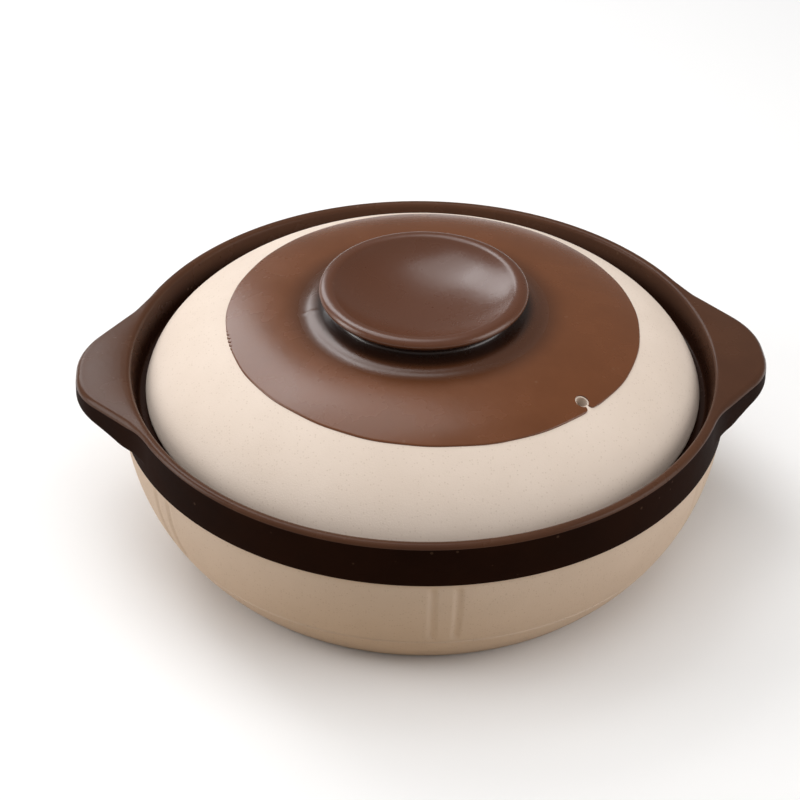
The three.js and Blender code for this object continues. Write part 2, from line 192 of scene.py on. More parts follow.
bowl = spin_strip("pot_bowl", bowl_profile, BOWL_STEPS)
pair_angle = 360 / GROOVE_PAIRS
for vertex in bowl.data.vertices:
    x, y, z = vertex.co / MM
    radius = math.hypot(x, y)
    azimuth = math.degrees(math.atan2(y, x))
    from_pair = (azimuth - 90 + pair_angle / 2) % pair_angle - pair_angle / 2
    half_share = from_pair / (pair_angle / 2)
    crowded = from_pair * (GROOVE_CROWDING + (1 - GROOVE_CROWDING) * half_share ** 2)
    azimuth += crowded - from_pair
    if math.hypot(radius - WALL_AXIS_R, z - BELLY_Z) > WALL_ARC - WALL_T / 2 and z < BELLY_Z:
        off_groove = math.radians(abs(crowded) - GROOVE_HALF) * radius
        low_end = fade(z, GROOVE_LOW, GROOVE_LOW + GROOVE_FADE)
        high_end = fade(z, GROOVE_HIGH, GROOVE_HIGH - GROOVE_FADE)
        radius -= GROOVE_D * soft_groove(off_groove / (GROOVE_W / 2)) * low_end * high_end
    turn = math.radians(azimuth)
    vertex.co = Vector((radius * math.cos(turn), radius * math.sin(turn), z)) * MM
close_seams(bowl, 35)

# The clay is full of fine sand, which shows as faint specks and a dry, slightly rough skin.
CLAY_LIGHT = (0.76, 0.65, 0.56, 1)
CLAY_DARK = (0.71, 0.60, 0.51, 1)
CLAY_SAND = (0.44, 0.33, 0.24, 1)
SAND_SHOW = 0.28
SPECK_EDGE = 0.42
SPECK_CORE = 0.2


def new_node(tree, kind, **values):
    """Adds a node and sets its inputs by name and its settings by attribute."""
    node = tree.nodes.new(kind)
    for key, value in values.items():
        if key in node.inputs:
            node.inputs[key].default_value = value
        else:
            setattr(node, key, value)
    return node


def feed(tree, value, socket):
    """Gives a socket a plain value, or links it to another socket."""
    if isinstance(value, bpy.types.NodeSocket):
        tree.links.new(value, socket)
    else:
        socket.default_value = value


def reckon(tree, operation, first, second):
    """A sum on two numbers, each a value or a socket."""
    node = new_node(tree, "ShaderNodeMath", operation=operation)
    feed(tree, first, node.inputs[0])
    feed(tree, second, node.inputs[1])
    return node.outputs["Value"]


def between(tree, value, low, high):
    """Maps low softly to 0 and high to 1, and holds what lies outside."""
    node = new_node(tree, "ShaderNodeMapRange", interpolation_type="SMOOTHSTEP")
    feed(tree, low, node.inputs["From Min"])
    feed(tree, high, node.inputs["From Max"])
    feed(tree, value, node.inputs["Value"])
    return node.outputs["Result"]


def blend_colours(tree, mask, first, second):
    """Mixes two colours, each a value or a socket, by a mask."""
    node = tree.nodes.new("ShaderNodeMix")
    node.data_type = "RGBA"
    tree.links.new(mask, node.inputs["Factor"])
    feed(tree, first, node.inputs[6])
    feed(tree, second, node.inputs[7])
    return node.outputs[2]


def group_with(name, inputs, outputs):
    """A shader node group with named sockets, each given as name, kind and value."""
    tree = bpy.data.node_groups.new(name, "ShaderNodeTree")
    for socket, kind, value in inputs:
        made = tree.interface.new_socket(socket, in_out="INPUT", socket_type=kind)
        if value is not None:
            made.default_value = value
    for socket, kind in outputs:
        tree.interface.new_socket(socket, in_out="OUTPUT", socket_type=kind)
    return tree, tree.nodes.new("NodeGroupInput"), tree.nodes.new("NodeGroupOutput")


# Grit: cloudy tone, specks of a given size and a grain height, used by the clay and by the glaze.
grit, grit_in, grit_out = group_with(
    "grit",
    [("Place", "NodeSocketVector", None), ("Cloud Scale", "NodeSocketFloat", 30.0),
     ("Speck Scale", "NodeSocketFloat", 900.0), ("Grain Scale", "NodeSocketFloat", 1600.0),
     ("Speck Share", "NodeSocketFloat", 0.1)],
    [("Cloud", "NodeSocketFloat"), ("Specks", "NodeSocketFloat"), ("Grain", "NodeSocketFloat")],
)
cloud = new_node(grit, "ShaderNodeTexNoise", Detail=4.0, Roughness=0.6)
grit.links.new(grit_in.outputs["Place"], cloud.inputs["Vector"])
grit.links.new(grit_in.outputs["Cloud Scale"], cloud.inputs["Scale"])
grit.links.new(between(grit, cloud.outputs["Fac"], 0.2, 0.8), grit_out.inputs["Cloud"])
cells = new_node(grit, "ShaderNodeTexVoronoi", Randomness=1.0)
grit.links.new(grit_in.outputs["Place"], cells.inputs["Vector"])
grit.links.new(grit_in.outputs["Speck Scale"], cells.inputs["Scale"])
cell_draw = new_node(grit, "ShaderNodeSeparateColor")
grit.links.new(cells.outputs["Color"], cell_draw.inputs["Color"])
chosen = reckon(grit, "LESS_THAN", cell_draw.outputs["Red"], grit_in.outputs["Speck Share"])
near = between(grit, cells.outputs["Distance"], SPECK_EDGE, SPECK_CORE)
grit.links.new(reckon(grit, "MULTIPLY", chosen, near), grit_out.inputs["Specks"])
grain = new_node(grit, "ShaderNodeTexNoise", Detail=3.0, Roughness=0.65)
grit.links.new(grit_in.outputs["Place"], grain.inputs["Vector"])
grit.links.new(grit_in.outputs["Grain Scale"], grain.inputs["Scale"])
grit.links.new(grain.outputs["Fac"], grit_out.inputs["Grain"])


def start_material(name, **sizes):
    """A material with a Principled shader and the grit group on the piece's own coordinates."""
    material = bpy.data.materials.new(name)
    material.use_nodes = True
    tree = material.node_tree
    place = new_node(tree, "ShaderNodeTexCoord")
    texture = tree.nodes.new("ShaderNodeGroup")
    texture.node_tree = grit
    for key, value in sizes.items():
        texture.inputs[key.replace("_", " ")].default_value = value
    tree.links.new(place.outputs["Object"], texture.inputs["Place"])
    return material, tree, tree.nodes["Principled BSDF"], texture


def bumped(tree, shader, height, strength, distance):
    """Roughens a shader's surface by a height."""
    bump = new_node(tree, "ShaderNodeBump", Strength=strength, Distance=distance)
    tree.links.new(height, bump.inputs["Height"])
    tree.links.new(bump.outputs["Normal"], shader.inputs["Normal"])


clay, clay_tree, clay_shader, clay_grit = start_material(
    "bare_clay", Cloud_Scale=26.0, Speck_Scale=1000.0, Grain_Scale=1500.0, Speck_Share=0.2)
clay_tone = blend_colours(clay_tree, clay_grit.outputs["Cloud"], CLAY_DARK, CLAY_LIGHT)
sand_mask = reckon(clay_tree, "MULTIPLY", clay_grit.outputs["Specks"], SAND_SHOW)
clay_colour = blend_colours(clay_tree, sand_mask, clay_tone, CLAY_SAND)
clay_tree.links.new(clay_colour, clay_shader.inputs["Base Color"])
clay_shader.inputs["Roughness"].default_value = 0.9
clay_shader.inputs["Specular IOR Level"].default_value = 0.25
bumped(clay_tree, clay_shader, clay_grit.outputs["Grain"], 0.35, 0.0003)


def dress(piece, material, body, slot, *nodes):
    """Gives a piece its material and its body, and hides the nodes that it stands for; its slot is not
    used.
    """
    piece.data.materials.clear()
    piece.data.materials.append(material)
    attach(piece, body)
    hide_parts(*nodes)


dress(bowl, clay, "pot", "clay", "bowl")

# Lining. Brown glaze poured into the bowl and out again, up to the ledge that carries the lid.
# It is a thin skin that follows the clay and ends a line's width below the coat on the ledge.
COAT = 0.6
SUNK = 0.3
LINING_TOP = LEDGE_Z - LEDGE_ROUND - 1.0


def beside(points, distance):
    """A profile moved to its right hand, which is outwards from the clay."""
    moved = []
    for i, (r, z) in enumerate(points):
        (r0, z0), (r1, z1) = points[max(i - 1, 0)], points[min(i + 1, len(points) - 1)]
        length = math.hypot(r1 - r0, z1 - z0)
        moved.append((r + distance * (z1 - z0) / length, z - distance * (r1 - r0) / length))
    return moved


lined = [(LEDGE_IN_R, LINING_TOP), *bowl_inside]
skin = beside(lined, COAT)
skin[-1] = (0.0, skin[-1][1])
back = beside(lined, -SUNK)
back[-1] = (0.0, back[-1][1])
lining = spin_strip("pot_lining", [*reversed(back), *skin], 360)
close_seams(lining, 40)

GLAZE_BROWN = (0.130, 0.044, 0.016, 1)
GLAZE_WARM = (0.155, 0.053, 0.019, 1)
GLAZE_PIT = (0.30, 0.19, 0.13, 1)
PIT_SHOW = 0.12
# Near black: painted shade in the gallery and under the knob's lip.
PAINTED_DEEP_SHADE = (0.024, 0.009, 0.005, 1)
# A darker brown over the knob's dish and lip.
GLAZE_DISH = (0.098, 0.034, 0.0155, 1)
# Mid brown: painted shade round the knob's foot.
PAINTED_FOOT_SHADE = (0.074, 0.0255, 0.010, 1)


# Dark zone: darker below a height, within a radius and outside another: painted shade, and the darker dish.
pool, pool_in, pool_out = group_with(
    "pool",
    [("Place", "NodeSocketVector", None), ("Dark Height", "NodeSocketFloat", 0.0),
     ("Clear Height", "NodeSocketFloat", 0.0), ("Dark Radius", "NodeSocketFloat", 0.0),
     ("Clear Radius", "NodeSocketFloat", 0.0), ("Inner Radius", "NodeSocketFloat", 0.0)],
    [("Mask", "NodeSocketFloat")],
)
flat = new_node(pool, "ShaderNodeVectorMath", operation="MULTIPLY")
flat.inputs[1].default_value = (1, 1, 0)
pool.links.new(pool_in.outputs["Place"], flat.inputs[0])
reach = new_node(pool, "ShaderNodeVectorMath", operation="LENGTH")
pool.links.new(flat.outputs["Vector"], reach.inputs[0])
place_parts = new_node(pool, "ShaderNodeSeparateXYZ")
pool.links.new(pool_in.outputs["Place"], place_parts.inputs["Vector"])
below = between(
    pool, place_parts.outputs["Z"], pool_in.outputs["Clear Height"], pool_in.outputs["Dark Height"])
within = between(
    pool, reach.outputs["Value"], pool_in.outputs["Clear Radius"], pool_in.outputs["Dark Radius"])
beyond = reckon(pool, "GREATER_THAN", reach.outputs["Value"], pool_in.outputs["Inner Radius"])
pooled = reckon(pool, "MULTIPLY", reckon(pool, "MULTIPLY", below, within), beyond)
pool.links.new(pooled, pool_out.inputs["Mask"])


def brown_glaze(name, plain, warm, shine, gloss_range=(0.22, 0.3), pools=()):
    """Satin brown glaze: cloudy tone, a few pale pinholes, a faintly uneven surface, and its darker zones.
    """
    material, tree, shader, texture = start_material(
        name, Cloud_Scale=38.0, Speck_Scale=520.0, Grain_Scale=330.0, Speck_Share=0.012)
    tone = blend_colours(tree, texture.outputs["Cloud"], plain, warm)
    # Darker zones laid over the tone: painted shade, and the knob dish's darker brown.
    for colour, sizes in pools:
        dark = tree.nodes.new("ShaderNodeGroup")
        dark.node_tree = pool
        tree.links.new(texture.inputs["Place"].links[0].from_socket, dark.inputs["Place"])
        for key, value in sizes.items():
            dark.inputs[key].default_value = value * MM
        tone = blend_colours(tree, dark.outputs["Mask"], tone, colour)
    shader.inputs["Specular IOR Level"].default_value = shine
    pits = reckon(tree, "MULTIPLY", texture.outputs["Specks"], PIT_SHOW)
    tree.links.new(blend_colours(tree, pits, tone, GLAZE_PIT), shader.inputs["Base Color"])
    gloss = new_node(tree, "ShaderNodeMapRange")
    gloss.inputs["To Min"].default_value = gloss_range[0]
    gloss.inputs["To Max"].default_value = gloss_range[1]
    tree.links.new(texture.outputs["Cloud"], gloss.inputs["Value"])
    tree.links.new(gloss.outputs["Result"], shader.inputs["Roughness"])
    bumped(tree, shader, texture.outputs["Grain"], 0.12, 0.0004)
    return material


lining_glaze = brown_glaze("lining_glaze", GLAZE_BROWN, GLAZE_WARM, shine=0.3)
dress(lining, lining_glaze, "pot", "glaze", "inside_glaze")

# Rim and ears. Each ear is pressed in a mould and luted to the rim with slip, and one dip then covers
# rim, ears, gallery wall and ledge, so that the joint is lost under the glaze. It fires darkest on
# the band.
TOP_Z = RIM_Z + COAT
BAND_Z = 57.0
EAR_REACH = 18.2
EAR_TIP_HALF = 16.0
EAR_ROOT_HALF = 46.5
EAR_TIP_T = 11.0
EAR_DROP = 2.0
EAR_FALL = 1.5
EAR_ROOT_T = 17.8
EAR_ROOT_FADE = 7.0
EAR_EDGE = 3.2
EAR_CORNER = 11.0
EAR_BLEND = 9.0
EAR_CROWDING = 0.45
BAND_TURN = 0.25
RIM_STEPS = 720
SIDE_POINTS = 40
EAR_RIM = RIM_R + COAT
EAR_TIP = EAR_RIM + EAR_REACH


def ear_outline():
    """Half of an ear's plan from the rim to the middle of its tip, as azimuths and radii."""
    root = Vector((math.sqrt(EAR_RIM ** 2 - EAR_ROOT_HALF ** 2), EAR_ROOT_HALF))
    corner = Vector((math.sqrt(EAR_TIP ** 2 - EAR_TIP_HALF ** 2), EAR_TIP_HALF))
    flank = (corner - root).normalized()
    start = math.atan2(root.y, root.x) + EAR_BLEND / EAR_RIM
    tip_from = math.atan2(corner.y, corner.x) - EAR_CORNER / EAR_TIP
    on_rim = (EAR_RIM * math.cos(start), EAR_RIM * math.sin(start))
    on_tip = (EAR_TIP * math.cos(tip_from), EAR_TIP * math.sin(tip_from))
    flank_from = tuple(root + flank * EAR_BLEND)
    flank_to = tuple(corner - flank * EAR_CORNER)
    plan = [
        *curve(on_rim, tuple(root), flank_from, 24),
        *curve(flank_from, tuple((Vector(flank_from) + Vector(flank_to)) / 2), flank_to, 24)[1:],
        *curve(flank_to, tuple(corner), on_tip, 24)[1:],
        (EAR_TIP, 0.0),
    ]
    return [(math.degrees(math.atan2(y, x)), math.hypot(x, y)) for x, y in plan]


EAR_PLAN = ear_outline()


def ear_stand(azimuth):
    """How far the ear stands out from the rim at an azimuth."""
    off = abs((azimuth + 90) % 180 - 90)
    if off >= EAR_PLAN[0][0]:
        return 0.0
    for (a0, r0), (a1, r1) in zip(EAR_PLAN, EAR_PLAN[1:]):
        if a1 <= off <= a0:
            share = (a0 - off) / (a0 - a1) if a0 > a1 else 0.0
            return r0 + (r1 - r0) * share - EAR_RIM
    return EAR_REACH


def band_skin(height):
    """Radius of the glazed band at a height."""
    if height < BELLY_Z:
        return WALL_AXIS_R + math.sqrt((WALL_ARC + COAT) ** 2 - (height - BELLY_Z) ** 2)
    return BELLY_R + COAT + (RIM_R - BELLY_R) * (height - BELLY_Z) / (RIM_Z - BELLY_Z)


def spaced(points, count):
    """The same path with its points evenly spaced."""
    lengths = [0.0]
    for (r0, z0), (r1, z1) in zip(points, points[1:]):
        lengths.append(lengths[-1] + math.hypot(r1 - r0, z1 - z0))
    path, i = [], 0
    for k in range(count):
        wanted = lengths[-1] * k / (count - 1)
        while i < len(points) - 2 and lengths[i + 1] < wanted:
            i += 1
        share = (wanted - lengths[i]) / max(lengths[i + 1] - lengths[i], 1e-9)
        (r0, z0), (r1, z1) = points[i], points[i + 1]
        path.append((r0 + (r1 - r0) * share, z0 + (z1 - z0) * share))
    return path


def rim_section(stand):
    """The glazed rim's section where an ear stands out by a given length, or 0 beside the ears."""
    inner = RIM_ROUND + COAT
    edge = inner + (EAR_EDGE - inner) * fade(stand, 0, EAR_EDGE)
    drop = EAR_DROP * stand / EAR_REACH
    brow = TOP_Z - drop - edge
    nose = band_skin(brow) + stand
    tip_low = EAR_TIP_T + EAR_DROP
    root_low = tip_low + (EAR_ROOT_T - tip_low) * fade(stand, 0, EAR_ROOT_FADE)
    low_edge = min(EAR_EDGE, stand / 2)

    def under(out):
        return TOP_Z - tip_low - (root_low - tip_low) * (1 - out / EAR_REACH) ** 2

    low = under(stand)
    inside = (RIM_R - RIM_T + RIM_ROUND, RIM_Z - RIM_ROUND)
    ledge_edge = (LEDGE_IN_R + LEDGE_ROUND, LEDGE_Z - LEDGE_ROUND)
    corner = (GALLERY_R - GALLERY_FILLET, LEDGE_Z + GALLERY_FILLET)
    top = [
        *arc(*ledge_edge, LEDGE_ROUND + COAT, 180, 90, 4),
        *arc(*corner, GALLERY_FILLET - COAT, -90, 0, 4),
        *arc(*inside, inner, 180, 90, 8),
    ]
    level_from, level_to = inside[0], nose - edge
    level = []
    for i in range(1, 6):
        share = i / 6
        level.append((level_from + (level_to - level_from) * share, TOP_Z - drop * share ** EAR_FALL))
    shoulder = arc(level_to, brow, edge, 90, 0, 8)
    side = [shoulder[-1]]
    for i in range(1, 13):
        height = brow + (low + low_edge - brow) * i / 12
        side.append((band_skin(height) + stand, height))
    if low_edge > 0:
        side += arc(band_skin(low + low_edge) + stand - low_edge, low + low_edge, low_edge, 0, -90, 10)[1:]
    for i in range(1, 25):
        out = max(stand - low_edge, 0) * (1 - i / 24)
        height = under(out)
        side.append((band_skin(height) + out, height))
    foot_of_ear = side[-1][1]
    for i in range(1, 9):
        height = foot_of_ear + (BAND_Z + COAT - foot_of_ear) * i / 8
        side.append((band_skin(height), height))
    bead_r = band_skin(BAND_Z) - COAT
    bead = arc(bead_r, BAND_Z + COAT, COAT, 0, -90, 4)[1:]
    hidden = [(bead_r - 2 * SUNK, BAND_Z + 1), (RIM_R - RIM_T / 2, RIM_Z - RIM_ROUND),
              (GALLERY_R + SUNK, LEDGE_Z + GALLERY_FILLET), (GALLERY_R - GALLERY_FILLET, LEDGE_Z - SUNK),
              (LEDGE_IN_R + LEDGE_ROUND, LEDGE_Z - SUNK), top[0]]
    return top + level + shoulder + spaced(side, SIDE_POINTS)[1:] + bead + hidden


def loft_round(name, section_at, crowd, steps, smooth_to):
    """Spins a straight strip, then moves each of its points to the section at its own azimuth."""
    count = len(section_at(0.0))
    strip = spin_strip(name, [(RIM_R, i) for i in range(count)], steps)
    sections = {}
    for vertex in strip.data.vertices:
        x, y, z = vertex.co / MM
        azimuth = crowd(math.degrees(math.atan2(y, x)))
        key = round(azimuth, 4)
        if key not in sections:
            sections[key] = section_at(azimuth)
        radius, height = sections[key][round(z)]
        turn = math.radians(azimuth)
        vertex.co = Vector((radius * math.cos(turn), radius * math.sin(turn), height)) * MM
    return close_seams(strip, smooth_to)


def crowd_ears(azimuth):
    """Draws the spin's steps together at the ears, where the outline bends most."""
    off = (azimuth + 90) % 180 - 90
    return azimuth - off + off * (EAR_CROWDING + (1 - EAR_CROWDING) * (off / 90) ** 2)


rim = loft_round(
    "pot_rim_and_ears", lambda azimuth: rim_section(ear_stand(azimuth)), crowd_ears, RIM_STEPS, 40)
RIM_BROWN = (0.070, 0.030, 0.017, 1)
RIM_WARM = (0.084, 0.036, 0.019, 1)
BAND_DARK = (0.012, 0.0046, 0.0026, 1)
BAND_WARM = (0.018, 0.0066, 0.0036, 1)
# Inside, the glaze darkens to near black towards the ledge: painted shade in the gap round the lid.
rim_glaze = brown_glaze("rim_glaze", RIM_BROWN, RIM_WARM, shine=0.16, pools=[
    (PAINTED_DEEP_SHADE, {"Dark Height": LEDGE_Z + 4, "Clear Height": TOP_Z - 0.5,
                  "Dark Radius": GALLERY_R, "Clear Radius": GALLERY_R + 2.5}),
])
band_glaze = brown_glaze("band_glaze", BAND_DARK, BAND_WARM, shine=0.012, gloss_range=(0.5, 0.58))
dress(rim, rim_glaze, "pot", "glaze", "rim_glaze", "ear_right", "ear_left")
rim.data.materials.append(band_glaze)
for face in rim.data.polygons:
    out = math.hypot(face.center.x, face.center.y) / MM
    if out > RIM_R - 1 and face.normal.z < BAND_TURN:
        face.material_index = 1

# Lid. A thrown dome of the same bare clay that drops inside the rim and rests on the ledge with a
# rounded edge. One steam hole is pushed through it near the edge of the glaze.
LID_R = 115.0
LID_SEAT_Z = 62.3
LID_EDGE_H = 2.7
LID_SEAT_W = 8.5
LID_T = 6.5
CROWN_Z = 98.5
CROWN_R = 51.6
CROWN_PULL = 34.4
EDGE_PULL = 14.5
EDGE_LEAN = 76.8
VENT_R = 83.0
VENT_AZIMUTH = -46.0
VENT_D = 4.6
VENT_CUT = 40.0
LID_STEPS = 360


def sweep(start, first, second, end, steps):
    """Points along a cubic curve with two handles."""
    points = []
    for i in range(steps + 1):
        t = i / steps
        shares = ((1 - t) ** 3, 3 * t * (1 - t) ** 2, 3 * t * t * (1 - t), t ** 3)
        points.append(weighed(shares, (start, first, second, end)))
    return points


lid_edge = (LID_R, LID_SEAT_Z + LID_EDGE_H)
lean = math.radians(EDGE_LEAN)
shoulder_pull = (LID_R - EDGE_PULL * math.cos(lean), lid_edge[1] + EDGE_PULL * math.sin(lean))
DOME = sweep(lid_edge, shoulder_pull, (CROWN_R + CROWN_PULL, CROWN_Z), (CROWN_R, CROWN_Z), 48)
seat_in = (LID_R - LID_SEAT_W, LID_SEAT_Z)
lid_under = sweep(
    (CROWN_R, CROWN_Z - LID_T), (CROWN_R + CROWN_PULL, CROWN_Z - LID_T),
    (seat_in[0], LID_SEAT_Z + EDGE_PULL), seat_in, 24)


def dome_at(radius):
    """Height and slope of the dome's outside at a radius."""
    for (r0, z0), (r1, z1) in zip(DOME, DOME[1:]):
        if r1 <= radius <= r0:
            slope = (z1 - z0) / (r0 - r1)
            return z1 - slope * (radius - r1), slope
    return CROWN_Z, 0.0


lid = spin_strip("cover_lid", [
    (0.0, CROWN_Z - LID_T),
    *lid_under,
    *arc(LID_R - LID_EDGE_H, lid_edge[1], LID_EDGE_H, -90, 0, 8),
    *DOME[1:],
    (0.0, CROWN_Z),
], LID_STEPS)
close_seams(lid, 35)
vent_z, vent_slope = dome_at(VENT_R)
vent_place = (
    Matrix.Rotation(math.radians(VENT_AZIMUTH), 4, "Z")
    @ Matrix.Translation(Vector((VENT_R, 0, vent_z)) * MM)
    @ Matrix.Rotation(math.atan(vent_slope), 4, "Y")
)


def cut_away(piece, cutter, smooth_to):
    """Cuts the cutter's shape out of a piece, and puts the cutter away."""
    bpy.ops.object.select_all(action="DESELECT")
    piece.select_set(True)
    bpy.context.view_layer.objects.active = piece
    knife = piece.modifiers.new("cut", "BOOLEAN")
    knife.operation = "DIFFERENCE"
    knife.solver = "EXACT"
    knife.object = cutter
    bpy.ops.object.modifier_apply(modifier=knife.name)
    bpy.ops.object.shade_smooth_by_angle(angle=math.radians(smooth_to))
    bpy.data.objects.remove(cutter)


def vent_post(radius, height):
    """A round post that stands in the steam hole."""
    bpy.ops.object.select_all(action="DESELECT")
    bpy.ops.mesh.primitive_cylinder_add(vertices=48, radius=radius * MM, depth=height * MM)
    post = bpy.context.object
    post.data.transform(vent_place)
    return post


cut_away(lid, vent_post(VENT_D / 2, VENT_CUT), 35)
dress(lid, clay, "cover", "clay", "lid")

# Glaze on the lid. The lid was dipped crown first and a little askew, which leaves one crisp edge round
# the dome. The hole was wiped clean, and a bare run leads from it to the edge.
DIP_R = 85.0
DIP_TILT = 1.1
DIP_SWAY = 0.12
DIP_RIPPLE = 0.08
CAP_TUCK = 3.0
CAP_STEPS = 720
CAP_CROWDING = 0.3
RING_BARE = 0.6
RING_CUT = 8.0
RUN_W = 1.8
RUN_START = 2.0
RUN_ROUND = 1.6
RUN_FLARE = 6.0
WRINKLES_FROM = 183.0
WRINKLES_TO = 194.0
WRINKLES_AT = 188.0
WRINKLE_STEP = 1.9
WRINKLE_D = 1.3


def dip_edge(azimuth):
    """Radius of the glaze's edge: where a tilted level cuts the dome, with a few wrinkles on one side."""
    turn = math.radians(azimuth)
    level = dome_at(DIP_R)[0]
    radius = DIP_R
    for _ in range(12):
        wanted = level - math.tan(math.radians(DIP_TILT)) * radius * math.cos(turn)
        height, slope = dome_at(radius)
        radius += (height - wanted) / max(slope, 0.1)
    here = azimuth % 360
    if WRINKLES_FROM < here < WRINKLES_TO:
        ends = math.sin(math.pi * (here - WRINKLES_FROM) / (WRINKLES_TO - WRINKLES_FROM))
        radius -= WRINKLE_D * ends * math.sin(math.pi * (here - WRINKLES_FROM) / WRINKLE_STEP) ** 8
    return radius + DIP_SWAY * math.sin(9 * turn) + DIP_RIPPLE * math.sin(23 * turn + 1)


def cap_section(azimuth):
    """The glaze on the lid from under the knob to its rounded edge, and back inside the clay."""
    edge = dip_edge(azimuth)
    start = CROWN_R - CAP_TUCK
    skin_line = []
    for i in range(41):
        share = i / 40
        radius = start + (edge - COAT - start) * (1 - (1 - share) ** 1.4)
        height, slope = dome_at(radius)
        lift = COAT / math.hypot(1, slope)
        skin_line.append((radius + slope * lift, height + lift))
    height, slope = dome_at(edge - COAT)
    tilt = math.degrees(math.atan(slope))
    bead = arc(edge - COAT, height, COAT, 90 - tilt, -tilt, 4)[1:]
    low = dome_at(edge - 1)[0] - SUNK
    hidden = [(edge - 1, low), (start, CROWN_Z - SUNK), skin_line[0]]
    return skin_line + bead + hidden


def crowd_wrinkles(azimuth):
    """Draws the spin's steps together at the wrinkles."""
    off = (azimuth - WRINKLES_AT + 180) % 360 - 180
    return azimuth - off + off * (CAP_CROWDING + (1 - CAP_CROWDING) * (off / 180) ** 2)


cap = loft_round("cover_lid_glaze", cap_section, crowd_wrinkles, CAP_STEPS, 40)
cut_away(cap, vent_post(VENT_D / 2 + RING_BARE, RING_CUT), 40)
bpy.ops.object.select_all(action="DESELECT")
bpy.ops.mesh.primitive_grid_add(x_subdivisions=24, y_subdivisions=1, size=1)
run = bpy.context.object
run_length = DIP_R - VENT_R + RUN_FLARE
for vertex in run.data.vertices:
    share = vertex.co.x + 0.5
    out = RUN_START + share * run_length
    from_edge = max(out - (dip_edge(VENT_AZIMUTH) - VENT_R - RUN_ROUND), 0)
    half = RUN_W / 2 + RUN_ROUND - math.sqrt(max(RUN_ROUND ** 2 - min(from_edge, RUN_ROUND) ** 2, 0))
    if from_edge > RUN_ROUND:
        half = RUN_FLARE
    vertex.co = Vector((out, math.copysign(half, vertex.co.y), -RING_CUT / 2)) * MM
bpy.ops.object.mode_set(mode="EDIT")
bpy.ops.mesh.select_all(action="SELECT")
bpy.ops.mesh.extrude_region_move(TRANSFORM_OT_translate={"value": (0, 0, RING_CUT * MM)})
bpy.ops.mesh.select_all(action="SELECT")
bpy.ops.mesh.normals_make_consistent(inside=False)
bpy.ops.object.mode_set(mode="OBJECT")
run.data.transform(vent_place)
cut_away(cap, run, 40)
FOOT_SHADE_R = 47.0
FOOT_SHADE_END = 60.0
# A mid brown ring of painted shade on the glaze round the knob's foot.
cap_glaze = brown_glaze("lid_glaze", GLAZE_BROWN, GLAZE_WARM, shine=0.5, pools=[
    (PAINTED_FOOT_SHADE, {"Dark Height": CROWN_Z + 2, "Clear Height": CROWN_Z + 3,
                  "Dark Radius": FOOT_SHADE_R, "Clear Radius": FOOT_SHADE_END}),
])
dress(cap, cap_glaze, "cover", "glaze", "lid_glaze")

# Knob. A saucer with a rolled lip on a waisted neck, turned in one with a collar that spreads over the
# crown. It is stuck on with slip and glazed with the lid, and a low ridge of slip is left at its foot.
KNOB_R = 42.6
KNOB_TOP = 110.9
LIP_WIDE = 3.4
LIP_TALL = 2.4
KNOB_TUCK = 50.0
KNOB_NECK_R = 37.6
KNOB_COLLAR_R = 41.8
KNOB_COLLAR_Z = 101.0
SKIRT_R = 47.0
SKIRT_Z = 99.8
SKIRT_SPREAD = 1.6
SKIRT_DRAW = 2.2
SKIRT_ROLL = 0.2
NECK_RISE = 1.2
KNOB_FOOT_R = 51.2
KNOB_FOOT_EDGE = 0.6
KNOB_SLOPE = 40.0
KNOB_FLOOR_Z = 100.0
RIDGE_AZIMUTH = 182.0
RIDGE_W = 1.3
RIDGE_H = 0.6

lip_r, lip_z = KNOB_R - LIP_WIDE, KNOB_TOP - LIP_TALL
dish_turn = math.degrees(math.atan(LIP_WIDE / LIP_TALL * math.tan(math.radians(KNOB_SLOPE))))
lip_round = arc(0, 0, 1, -KNOB_TUCK, 90 + dish_turn, 30)
brim = [(lip_r + LIP_WIDE * r, lip_z + LIP_TALL * z) for r, z in lip_round]
dish_from = brim[-1]
dish_run = (dish_from[1] - KNOB_FLOOR_Z) / math.tan(math.radians(KNOB_SLOPE))
foot_edge = (KNOB_FOOT_R, CROWN_Z + KNOB_FOOT_EDGE)
skirt = (SKIRT_R, SKIRT_Z)
collar = (KNOB_COLLAR_R, KNOB_COLLAR_Z)
knob = spin_strip("cover_knob", [
    (0.0, CROWN_Z),
    (KNOB_FOOT_R, CROWN_Z),
    *curve(foot_edge, (SKIRT_R + SKIRT_SPREAD, foot_edge[1]), skirt, 12),
    *curve(skirt, (SKIRT_R - SKIRT_DRAW, KNOB_COLLAR_Z - SKIRT_ROLL), collar, 16)[1:],
    *curve(collar, (2 * KNOB_NECK_R - KNOB_COLLAR_R, KNOB_COLLAR_Z + NECK_RISE), brim[0], 20)[1:],
    *brim[1:],
    *curve(dish_from, (dish_from[0] - dish_run, KNOB_FLOOR_Z), (0.0, KNOB_FLOOR_Z), 30)[1:],
], LID_STEPS)
for vertex in knob.data.vertices:
    x, y, z = vertex.co / MM
    radius = math.hypot(x, y)
    if radius > KNOB_COLLAR_R - 0.5 and CROWN_Z + 0.1 < z < KNOB_COLLAR_Z:
        off = ((math.degrees(math.atan2(y, x)) - RIDGE_AZIMUTH + 180) % 360 - 180) / RIDGE_W
        swell = 1 + RIDGE_H / radius * math.exp(-off * off)
        vertex.co = Vector((x * swell, y * swell, z)) * MM
close_seams(knob, 40)
